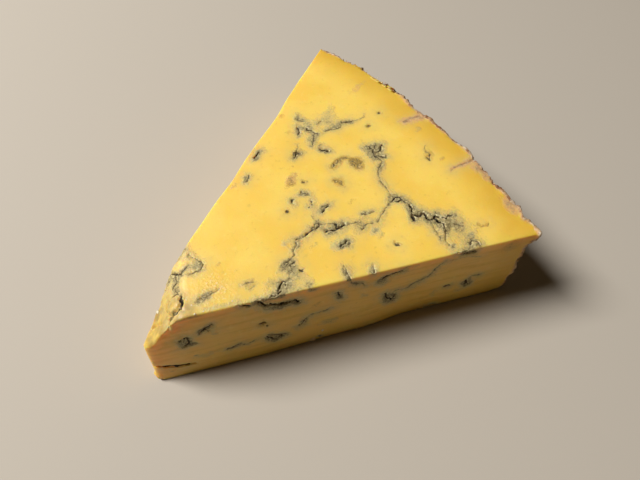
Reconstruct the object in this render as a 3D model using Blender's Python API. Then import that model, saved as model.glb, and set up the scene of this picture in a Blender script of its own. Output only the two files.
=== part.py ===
# Wedge of orange blue cheese, cut from a wheel: one solid piece with its rind on the outer end.
# The shape is worked out in millimetres, with the two cuts meeting at x = 0, y = 0 and the table at z = 0.

import math

import bmesh
import bpy
import numpy as np
from mathutils import Vector, noise

MM = 0.001

# Driving sizes
NEAR_SIDE = 100.0  # from where the cuts meet to the rind, along the near cut
FAR_SIDE = 108.0  # the same along the far cut
TIP_ANGLE = math.radians(52.0)  # between the two cuts
THICKNESS = 26.0
RIND_BOW = 6.3  # how far the rind stands out past the straight line between its corners
BOX_MIDDLE = (50.3, 1.7)  # the middle of the finished piece's box, which becomes the origin

# How the knife left it
NEAR_LEAN = 3.0  # the near cut stands out this far at the table by the tip
LEAN_LOSSES = ((20.0, 45.0, 0.7), (48.0, 62.0, 1.2))  # it loses the third figure between these distances
FAR_SAGS = (  # hollows of the far cut, and a swell by the tip: middle, half length, depth
    (14.8, 4.0, -0.9), (42.5, 4.0, 0.35), (64.5, 7.0, 0.6))
NOSE_RADIUS = 1.7
EDGE_ROUND = 1.0
TOP_WAVE = (0.2, 17.0, 13.0)  # how high the cut top waves, and over which lengths along x and y

# The broken tip, where the top falls away
TIP_FALL = 8.8
TIP_FALL_LENGTH = 15.0
TIP_FALL_SKEW = 0.7  # it reaches further back along the far cut

# Rind
RIND_BELLY = 0.5  # bulge at half height
RIND_RIM = (0.6, 4.0)  # below the cut top the rind steps in over these depths
RIND_STEP = 0.6  # by this much
CORNER_STEP = (-43.8, 7.0, 1.6)  # and this much more at the near corner: middle along y, half length, depth
RIND_FOOT = 3.6  # rounding where it meets the table
RIND_FOOT_ZONE = (82.0, 92.0)  # distances from the tip over which that rounding grows
RIND_WAVES = (  # middle along y, half length, how far out
    (-38.0, 1.3, -1.1),
    (-27.5, 4.0, -0.7),
    (-13.5, 3.0, 0.4),
    (6.0, 4.0, -0.5),
    (18.5, 3.5, 1.75),
    (26.0, 5.5, 1.45),
    (33.0, 3.0, 1.5),
    (40.0, 6.0, 0.7),
)
RIND_CRAGS = (0.9, 4.0)  # height and length of the crags
RIND_SKIN = (-1.6, -0.4)  # crags grow over these distances out to the rind
RIND_CLEAR = (0.3, 2.5)  # and over these heights above the table

# Crags in the paste. Each is a route on a face, with half its width and its depth.
TOP = THICKNESS
GROOVES = {
    "crack_round_the_curd": ([(13.6, 0.9, 25.3), (13.5, -1.0, 25.9), (12.6, -2.4, 26.0), (11.0, -2.9, 25.6),
                              (9.6, -2.3, 24.6)], 0.5, 1.5),
    "fold_by_the_curd": ([(9.3, -2.1, 24.3), (8.2, -2.8, 23.8), (7.2, -4.0, 23.5)], 0.5, 0.9),
    "tip_ledge": ([(4.2, 1.8, 18.0), (5.4, 0.8, 19.4), (6.6, -0.6, 21.2)], 0.6, 0.7),
    "main_crevice": ([(70.6, -12.6, TOP), (72.0, -17.0, TOP), (70.2, -19.2, TOP), (73.4, -22.8, TOP),
                      (74.0, -26.0, TOP), (72.0, -28.6, TOP)], 0.8, 1.1),
    "side_crack": ([(72.2, -22.8, TOP), (71.0, -26.2, TOP), (69.6, -29.0, TOP)], 0.5, 0.9),
    "branch_crevice": ([(71.8, -8.0, TOP), (74.1, -2.7, TOP), (77.6, 0.9, TOP), (77.9, 3.2, TOP)], 0.6, 0.6),
    "long_crevice": ([(57.0, -13.9, TOP), (61.6, -14.7, TOP), (66.0, -13.4, TOP), (70.4, -12.5, TOP)],
                     0.6, 0.6),
    "middle_crevice": ([(50.6, -8.6, TOP), (53.0, -9.6, TOP), (55.4, -9.9, TOP)], 0.7, 1.0),
    "upper_crevice": ([(43.5, -5.6, TOP), (47.0, -5.9, TOP), (50.2, -5.6, TOP)], 0.6, 0.7),
    "edge_crevice": ([(27.0, -13.6, TOP), (30.6, -14.6, TOP), (33.6, -13.0, TOP)], 0.7, 1.1),
    "rind_crease": ([(90.0, -15.8, TOP), (93.4, -16.4, TOP), (97.4, -17.3, TOP)], 0.8, 0.7),
    "rind_split": ([(97.2, -17.3, TOP), (98.6, -18.0, 16.0), (97.6, -15.5, 6.0)], 1.0, 0.8),
    "tip_slit": ([(0.2, 1.2, 6.8), (-1.3, -0.9, 7.0), (0.3, -2.6, 7.0), (4.9, -5.1, 5.2), (8.0, -6.4, 4.6)],
                 1.1, 0.8),
}
PITS = {
    "brown_pit": ((61.0, 16.0, TOP), 1.3, 1.0),
    "long_pit": ((68.4, 12.0, TOP), 1.1, 1.2),
    "upper_pit": ((69.6, 21.7, TOP), 1.0, 0.9),
    "blue_pit": ((51.4, -13.9, TOP), 1.5, 0.8),
    "branch_pit": ((78.0, 2.6, TOP), 1.5, 0.8),
    "near_face_pit": ((55.4, -28.2, 10.5), 2.0, 1.2),
    "near_face_hollow": ((28.6, -16.0, 3.8), 1.5, 0.6),
    "edge_nick": ((78.0, -38.4, TOP), 1.6, 0.9),
}
CURD = ((11.4, 0.0, 24.4), 2.5, 1.4)  # the rounded curd by the tip: middle, radius, rise
FLAKE = ((73.0, -27.0, TOP), 1.3, 0.5)  # paste lifted between the two cracks
TIP_LIP = ((-0.6, -0.7, 1.4), 1.8, 0.8)  # paste pressed out at the foot of the tip

# Mesh
LENGTH_CUTS = 32
HEIGHT_CUTS = 9
ROW_DRAW = 0.6  # how far the rows are drawn towards the top and the table, from 0 to 1
FINE_TIP = 17.0  # the mesh is split again as far as this from the tip
FINE_RIND = 1.0  # and this far in from the rind
CRAG_REACH = (1.7, 0.85)  # it is split once this near a crag, and once more this near
TABLE_CLEAR = (0.0, 0.8)  # relief grows over these heights, so that the underside stays flat
SETTLE_STEPS = 8
SLOPE_STEP = 0.05
SHARP_ANGLE = math.radians(35)

CHEESE_COLOUR = (0.86, 0.52, 0.10, 1.0)
CHEESE_ROUGHNESS = 0.5

HALF = TIP_ANGLE / 2
NEAR_CORNER = np.array([NEAR_SIDE * math.cos(HALF), -NEAR_SIDE * math.sin(HALF)])
FAR_CORNER = np.array([FAR_SIDE * math.cos(HALF), FAR_SIDE * math.sin(HALF)])
CHORD = FAR_CORNER - NEAR_CORNER
CHORD_LENGTH = float(np.linalg.norm(CHORD))
CHORD_OUT = np.array([CHORD[1], -CHORD[0]]) / CHORD_LENGTH
RIND_RADIUS = CHORD_LENGTH**2 / (8 * RIND_BOW) + RIND_BOW / 2
RIND_CENTRE = (NEAR_CORNER + FAR_CORNER) / 2 + CHORD_OUT * (RIND_BOW - RIND_RADIUS)


def smooth_step(value, low, high):
    t = np.clip((value - low) / (high - low), 0.0, 1.0)
    return t * t * (3 - 2 * t)


def hump(off, half_length):
    return np.exp(-((off / half_length) ** 2))


def round_max(a, b, reach):
    """The larger of two distances, with the corner between them rounded over this reach."""
    near = np.maximum(reach - np.abs(a - b), 0.0) / reach
    return np.maximum(a, b) + near * near * reach / 4


def lumps(points, size):
    return np.array([noise.noise(Vector(point)) for point in points / size])


def distance_to_route(points, route):
    """The distance from each point to a route of straight runs."""
    stops = np.asarray(route, float)
    nearest = np.full(len(points), np.inf)
    for start, end in zip(stops[:-1], stops[1:]):
        way = end - start
        along = np.clip((points - start) @ way / (way @ way), 0.0, 1.0)
        nearest = np.minimum(nearest, np.linalg.norm(points - start - along[:, None] * way, axis=1))
    return nearest


def top_height(x, y):
    """The cut top: a slow wave of the knife, falling away at the broken tip."""
    height, length_x, length_y = TOP_WAVE
    wave = height * np.sin(x / length_x) * np.cos(y / length_y)
    fall = TIP_FALL * (1 - smooth_step(x - TIP_FALL_SKEW * y, 0.0, TIP_FALL_LENGTH))
    return THICKNESS + wave - fall


def near_lean(x, z):
    """How far the near cut stands out at each point's height."""
    lean = NEAR_LEAN
    for start, end, loss in LEAN_LOSSES:
        lean = lean - loss * smooth_step(x, start, end)
    return lean * np.clip(1 - z / THICKNESS, 0.0, 1.0)


def past_rind(x, y):
    return np.hypot(x - RIND_CENTRE[0], y - RIND_CENTRE[1]) - RIND_RADIUS


def form_gap(points):
    """How far each point lies outside the wedge's smooth form. It is negative inside."""
    x, y, z = points.T
    near = -x * math.sin(HALF) - y * math.cos(HALF) - near_lean(x, z)
    far = -x * math.sin(HALF) + y * math.cos(HALF)
    for middle, half_length, depth in FAR_SAGS:
        far += depth * hump(x - middle, half_length)
    rind = past_rind(x, y) - RIND_BELLY * (1 - (2 * z / THICKNESS - 1) ** 2)
    for middle, half_length, out in RIND_WAVES:
        rind -= out * hump(y - middle, half_length)
    middle, half_length, depth = CORNER_STEP
    step = RIND_STEP + depth * hump(y - middle, half_length)
    rind += step * smooth_step(THICKNESS - z, *RIND_RIM)
    gap = round_max(near, far, 2 * NOSE_RADIUS)
    gap = round_max(gap, rind, EDGE_ROUND)
    foot = EDGE_ROUND + (RIND_FOOT - EDGE_ROUND) * smooth_step(x, *RIND_FOOT_ZONE)
    gap = round_max(gap, -z, foot)
    return round_max(gap, z - top_height(x, y), EDGE_ROUND)


def outward(points):
    """The direction out of the form at each point."""
    slope = np.empty_like(points)
    for axis in range(3):
        ahead, behind = points.copy(), points.copy()
        ahead[:, axis] += SLOPE_STEP
        behind[:, axis] -= SLOPE_STEP
        slope[:, axis] = (form_gap(ahead) - form_gap(behind)) / (2 * SLOPE_STEP)
    return slope / np.maximum(np.linalg.norm(slope, axis=1, keepdims=True), 1e-9)


def settle(points):
    """Moves each point onto the wedge's smooth form."""
    for _ in range(SETTLE_STEPS):
        points = points - outward(points) * form_gap(points)[:, None]
    return points


def crag_relief(points):
    """How far crags, pits and the rind's roughness move the surface out."""
    x, y, z = points.T
    relief = np.zeros(len(points))
    for route, half_width, depth in GROOVES.values():
        relief -= depth * hump(distance_to_route(points, route), half_width)
    for middle, radius, depth in PITS.values():
        relief -= depth * hump(np.linalg.norm(points - np.array(middle), axis=1), radius)
    for middle, radius, rise in (CURD, FLAKE, TIP_LIP):
        off = np.linalg.norm(points - np.array(middle), axis=1) / radius
        relief += rise * np.exp(-(off**4))
    on_rind = smooth_step(past_rind(x, y), *RIND_SKIN) * smooth_step(z, *RIND_CLEAR)
    height, length = RIND_CRAGS
    relief += on_rind * height * lumps(points, length)
    return relief * smooth_step(z, *TABLE_CLEAR)


def place_in_wedge(points):
    """Bows a straight prism's end out to the rind, lifts its rows to the cut top and leans its near side."""
    x, y, height = points.T
    across = np.clip((y / np.maximum(x, 1e-6) / math.tan(HALF) + 1) / 2, 0.0, 1.0)
    reach = x / (NEAR_CORNER[0] + (FAR_CORNER[0] - NEAR_CORNER[0]) * across)
    bow = 4 * RIND_BOW * across * (1 - across) * reach
    x = x + bow * CHORD_OUT[0]
    y = y + bow * CHORD_OUT[1]
    rows = height - ROW_DRAW * np.sin(2 * math.pi * height) / (2 * math.pi)
    z = rows * top_height(x, y)
    lean = near_lean(x, z) * (1 - across)
    return np.stack([x - lean * math.sin(HALF), y - lean * math.cos(HALF), z], axis=1)


def start_prism():
    """A three-sided prism with its corners at the tip and the rind's ends, one unit high, in a grid."""
    mesh = bmesh.new()
    bmesh.ops.create_cone(mesh, cap_ends=True, segments=3, radius1=1.0, radius2=1.0, depth=1.0)
    upper = [v for v in mesh.verts if v.co.z > 0]
    lower = sorted((v for v in mesh.verts if v.co.z < 0), key=lambda v: math.atan2(v.co.y, v.co.x))
    pairs = [(low, min(upper, key=lambda v: (v.co.xy - low.co.xy).length)) for low in lower]
    for (low, high), place in zip(pairs, ((0.0, 0.0), NEAR_CORNER, FAR_CORNER)):
        low.co = (place[0], place[1], 0.0)
        high.co = (place[0], place[1], 1.0)
    upright = [e for e in mesh.edges if abs(e.verts[0].co.z - e.verts[1].co.z) > 0.5]
    bmesh.ops.subdivide_edges(mesh, edges=upright, cuts=HEIGHT_CUTS - 1, use_grid_fill=True)
    level = [e for e in mesh.edges if abs(e.verts[0].co.z - e.verts[1].co.z) < 1e-4]
    bmesh.ops.subdivide_edges(mesh, edges=level, cuts=LENGTH_CUTS - 1, use_grid_fill=True)
    return mesh


def points_of(mesh):
    return np.array([v.co[:] for v in mesh.verts])


def put_points(mesh, points):
    for vert, place in zip(mesh.verts, points):
        vert.co = place


def split_where(mesh, wanted):
    """Splits the edges whose middles are wanted."""
    edges = list(mesh.edges)
    middles = np.array([((e.verts[0].co + e.verts[1].co) / 2)[:] for e in edges])
    chosen = [edge for edge, take in zip(edges, wanted(middles)) if take]
    bmesh.ops.subdivide_edges(mesh, edges=chosen, cuts=1, use_grid_fill=True)


def by_tip_or_rind(middles):
    x, y, z = middles.T
    return (z > RIND_CLEAR[0]) & ((x < FINE_TIP) | (past_rind(x, y) > -FINE_RIND))


def by_crag(reach):
    def wanted(middles):
        close = np.full(len(middles), np.inf)
        for route, half_width, _ in GROOVES.values():
            close = np.minimum(close, distance_to_route(middles, route) - half_width)
        for middle, radius, _ in (*PITS.values(), CURD, FLAKE, TIP_LIP):
            close = np.minimum(close, np.linalg.norm(middles - np.array(middle), axis=1) - radius)
        return close < reach

    return wanted


def cheese_material():
    material = bpy.data.materials.new("orange_blue_cheese")
    material.use_nodes = True
    shader = material.node_tree.nodes["Principled BSDF"]
    shader.inputs["Base Color"].default_value = CHEESE_COLOUR
    shader.inputs["Roughness"].default_value = CHEESE_ROUGHNESS
    shader.inputs["Metallic"].default_value = 0.0
    material.diffuse_color = CHEESE_COLOUR
    return material


def build_wedge():
    mesh = start_prism()
    put_points(mesh, settle(place_in_wedge(points_of(mesh))))
    split_where(mesh, by_tip_or_rind)
    for reach in CRAG_REACH:
        split_where(mesh, by_crag(reach))
    points = settle(points_of(mesh))
    points = points + outward(points) * crag_relief(points)[:, None]
    points[:, 2] = np.maximum(points[:, 2], 0.0)
    points[:, :2] -= BOX_MIDDLE
    put_points(mesh, points * MM)
    bmesh.ops.triangulate(mesh, faces=mesh.faces[:])
    bmesh.ops.recalc_face_normals(mesh, faces=mesh.faces[:])
    data = bpy.data.meshes.new("cheese_wedge")
    mesh.to_mesh(data)
    mesh.free()
    data.shade_smooth()
    data.set_sharp_from_angle(angle=SHARP_ANGLE)
    data.materials.append(cheese_material())
    return bpy.data.objects.new("cheese_wedge", data)


for leftover in list(bpy.data.objects):
    bpy.data.objects.remove(leftover, do_unlink=True)
parts = bpy.data.collections.new("cheese_wedge_parts")
bpy.context.scene.collection.children.link(parts)
parts.objects.link(build_wedge())
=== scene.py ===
import math

import bmesh
import bpy
import numpy as np
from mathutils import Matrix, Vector, noise


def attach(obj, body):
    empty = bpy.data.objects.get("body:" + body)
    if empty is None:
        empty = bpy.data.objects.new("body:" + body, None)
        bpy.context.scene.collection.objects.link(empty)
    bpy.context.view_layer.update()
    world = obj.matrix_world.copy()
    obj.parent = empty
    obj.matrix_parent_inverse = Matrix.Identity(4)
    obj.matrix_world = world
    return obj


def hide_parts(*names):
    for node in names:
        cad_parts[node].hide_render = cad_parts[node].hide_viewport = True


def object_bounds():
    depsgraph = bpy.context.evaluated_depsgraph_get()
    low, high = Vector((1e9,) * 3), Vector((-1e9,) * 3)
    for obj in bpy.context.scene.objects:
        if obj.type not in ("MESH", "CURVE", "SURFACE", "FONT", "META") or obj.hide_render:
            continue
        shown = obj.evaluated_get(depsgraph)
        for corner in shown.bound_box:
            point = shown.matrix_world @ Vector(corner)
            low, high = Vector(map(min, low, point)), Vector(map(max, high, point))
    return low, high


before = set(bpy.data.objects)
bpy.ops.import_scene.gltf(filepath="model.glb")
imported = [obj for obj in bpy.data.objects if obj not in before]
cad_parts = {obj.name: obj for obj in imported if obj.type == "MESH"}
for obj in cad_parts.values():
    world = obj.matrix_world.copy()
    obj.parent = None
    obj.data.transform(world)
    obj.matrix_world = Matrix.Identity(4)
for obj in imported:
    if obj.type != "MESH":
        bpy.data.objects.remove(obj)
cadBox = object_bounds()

# Everything below is worked out in millimetres: the two cuts meet at x = 0, y = 0 and the table is at z = 0.
mm = 0.001
boxMiddle = np.array([50.3, 1.7])  # where the frame's origin lies in those millimetres
wobbleSeed = 5
noise.seed_set(wobbleSeed)  # without it noise_vector starts from the clock, and each run draws other cracks


def linearColour(hexText):
    # sRGB hex to the linear values that the shader wants
    parts = [int(hexText[i:i + 2], 16) / 255 for i in (1, 3, 5)]
    return [p / 12.92 if p <= 0.04045 else ((p + 0.055) / 1.055) ** 2.4 for p in parts] + [1.0]


def perMetre(sizeInMm):
    # a texture's scale for a pattern of this size
    return 1000.0 / sizeInMm


def smoothStep(value, low, high):
    t = np.clip((value - low) / (high - low), 0.0, 1.0)
    return t * t * (3 - 2 * t)


def hump(off, halfLength):
    return np.exp(-((off / halfLength) ** 2))


def roundMax(a, b, reach):
    near = np.maximum(reach - np.abs(a - b), 0.0) / reach
    return np.maximum(a, b) + near * near * reach / 4


def lumps(points, size, shift=0.0):
    return np.array([noise.noise(Vector(p)) for p in points / size + shift])


def wobble(points, size, reach):
    # moves points about, so that drawn lines turn as jagged as real cracks
    return points + reach * np.array([noise.noise_vector(Vector(p))[:] for p in points / size])


# The wedge as the knife left it
wedge = {
    "nearSide": 100.0,
    "farSide": 108.0,
    "tipAngle": 52.0,
    "thickness": 26.0,
    "rindBow": 6.3,
    "nearLean": 3.0,  # the near cut stands out this far at the table by the tip
    "leanLosses": ((20.0, 45.0, 0.7), (48.0, 62.0, 1.2)),  # from, to, and the loss between them
    # hollows of the far cut, and a swell by the tip: middle, half length, depth
    "farSags": ((14.8, 4.0, -0.9), (42.5, 4.0, 0.35), (64.5, 7.0, 0.6)),
    "noseRadius": 1.7,
    "edgeRound": 0.45,
    "tipRound": 1.0,  # the broken tip's upper edges are worn rounder
    "tipRoundZone": (3.0, 9.0),
    "tipFall": 8.8,  # the top falls this far at the broken tip
    "tipFallLength": 15.0,
    "tipFallSkew": 0.7,
    "topWave": (0.2, 17.0, 13.0),
    "rindBelly": 0.5,
    "rindRim": (0.6, 4.0),
    "rindStep": 0.6,
    "cornerStep": (-43.8, 7.0, 1.6),
    "rindFoot": 3.6,
    "rindFootZone": (82.0, 92.0),
    "rindWaves": ((-38.0, 1.3, -1.1), (-27.5, 4.0, -0.7), (-13.5, 3.0, 0.4), (6.0, 4.0, -0.5),
                  (18.5, 3.5, 1.75), (26.0, 5.5, 1.45), (33.0, 3.0, 1.5), (40.0, 6.0, 0.7)),
    "lengthCuts": 120,
    "heightCuts": 30,
    "fineRind": 0.7,
    "fineTip": 15.0,
}
half = math.radians(wedge["tipAngle"] / 2)
sinHalf, cosHalf = math.sin(half), math.cos(half)
thickness = wedge["thickness"]
nearCorner = np.array([wedge["nearSide"] * cosHalf, -wedge["nearSide"] * sinHalf])
farCorner = np.array([wedge["farSide"] * cosHalf, wedge["farSide"] * sinHalf])
chord = farCorner - nearCorner
chordLength = float(np.linalg.norm(chord))
chordOut = np.array([chord[1], -chord[0]]) / chordLength
rindRadius = chordLength**2 / (8 * wedge["rindBow"]) + wedge["rindBow"] / 2
rindCentre = (nearCorner + farCorner) / 2 + chordOut * (wedge["rindBow"] - rindRadius)


def topHeight(x, y):
    height, lengthX, lengthY = wedge["topWave"]
    fall = wedge["tipFall"] * (1 - smoothStep(x - wedge["tipFallSkew"] * y, 0.0, wedge["tipFallLength"]))
    return thickness + height * np.sin(x / lengthX) * np.cos(y / lengthY) - fall


def nearLean(x, z):
    lean = wedge["nearLean"]
    for start, end, loss in wedge["leanLosses"]:
        lean = lean - loss * smoothStep(x, start, end)
    return lean * np.clip(1 - z / thickness, 0.0, 1.0)


def sideGaps(points):
    # how far each point lies past the near cut, the far cut, the rind, the table and the top
    x, y, z = points.T
    near = -x * sinHalf - y * cosHalf - nearLean(x, z)
    far = -x * sinHalf + y * cosHalf
    for middle, halfLength, depth in wedge["farSags"]:
        far = far + depth * hump(x - middle, halfLength)
    rind = np.hypot(x - rindCentre[0], y - rindCentre[1]) - rindRadius
    rind -= wedge["rindBelly"] * (1 - (2 * z / thickness - 1) ** 2)
    for middle, halfLength, out in wedge["rindWaves"]:
        rind -= out * hump(y - middle, halfLength)
    middle, halfLength, depth = wedge["cornerStep"]
    step = wedge["rindStep"] + depth * hump(y - middle, halfLength)
    rind += step * smoothStep(thickness - z, *wedge["rindRim"])
    return near, far, rind, -z, z - topHeight(x, y)


def formGap(points):
    near, far, rind, table, top = sideGaps(points)
    edge = wedge["edgeRound"]
    foot = edge + (wedge["rindFoot"] - edge) * smoothStep(points[:, 0], *wedge["rindFootZone"])
    brow = wedge["tipRound"] + (edge - wedge["tipRound"]) * smoothStep(points[:, 0], *wedge["tipRoundZone"])
    gap = roundMax(near, far, 2 * wedge["noseRadius"])
    gap = roundMax(gap, rind, edge)
    gap = roundMax(gap, table, foot)
    return roundMax(gap, top, brow)


def outward(points):
    step = 0.03
    slope = np.empty_like(points)
    for axis in range(3):
        ahead, behind = points.copy(), points.copy()
        ahead[:, axis] += step
        behind[:, axis] -= step
        slope[:, axis] = (formGap(ahead) - formGap(behind)) / (2 * step)
    return slope / np.maximum(np.linalg.norm(slope, axis=1, keepdims=True), 1e-9)


def settle(points):
    for _ in range(8):
        points = points - outward(points) * formGap(points)[:, None]
    return points


# Each vein is a kind and its route. Kinds: half width of the open crack, its depth, how dark it is, how far
# its mould reaches, how thick that mould is, and its tone: blue-grey (0), olive brown (1) or pinkish (2).
veinKinds = {
    "crevice": (0.22, 0.9, 1.0, 1.4, 0.8, 0.35),
    "crack": (0.13, 0.5, 0.92, 1.1, 0.66, 0.4),
    "thread": (0.09, 0.2, 0.68, 0.9, 0.6, 0.4),
    "hair": (0.06, 0.1, 0.5, 0.6, 0.35, 0.5),
    "brown": (0.22, 0.4, 0.8, 0.8, 0.5, 0.9),
    "pip": (0.36, 0.35, 0.85, 0.6, 0.55, 1.0),
    "faint": (0.08, 0.1, 0.4, 0.5, 0.4, 1.0),
    "crease": (0.10, 0.12, 0.25, 0.55, 0.6, 2.0),
    "ochre": (0.05, 0.10, 0.0, 0.75, 0.75, 1.0),
    "slit": (0.30, 0.5, 1.0, 0.45, 0.45, 0.8),
}

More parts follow.
